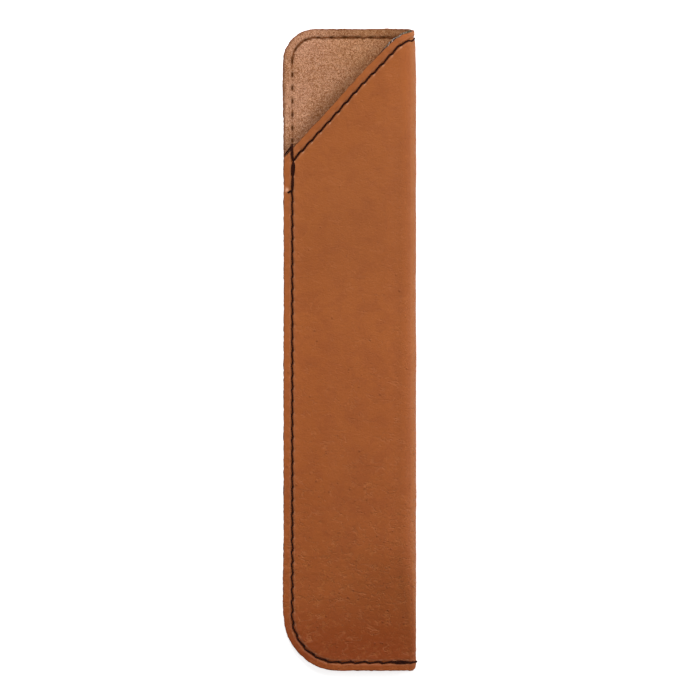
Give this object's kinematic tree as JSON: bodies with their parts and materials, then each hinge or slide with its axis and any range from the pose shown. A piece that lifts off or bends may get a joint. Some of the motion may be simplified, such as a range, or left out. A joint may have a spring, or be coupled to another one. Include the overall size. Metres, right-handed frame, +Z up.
{
  "type": "pen sleeve",
  "caption": "Slim sleeve for one pen, folded from a leather-look sheet with a suede lining, sewn down one side and along the bottom, with a slanted open mouth.",
  "frame": {"origin": "Centre of the footprint, on the surface that the back panel lies on.", "axes": "+X points across the sleeve to its folded edge, +Y along it from the sewn bottom to the open mouth, +Z up through its thickness from the back panel to the front panel."},
  "size_m": [0.0332, 0.16, 0.0078],
  "materials": {
    "outer_skin": "caramel brown grained leather-look face, satin, low gloss",
    "core_layer": "grey-brown fibrous backing, matte, seen only at cut edges",
    "suede_lining": "tan suede nap, matte",
    "needle_thread": "near-black twisted sewing thread",
    "bobbin_thread": "brown twisted sewing thread"
  },
  "bodies": {
    "root": {"outer_skin": "outer_skin", "core_layer": "core_layer", "suede_lining": "suede_lining", "mouth_needle_thread": "needle_thread", "mouth_bobbin_thread": "bobbin_thread", "closing_needle_thread": "needle_thread", "closing_bobbin_thread": "bobbin_thread"}
  },
  "joints": []
}
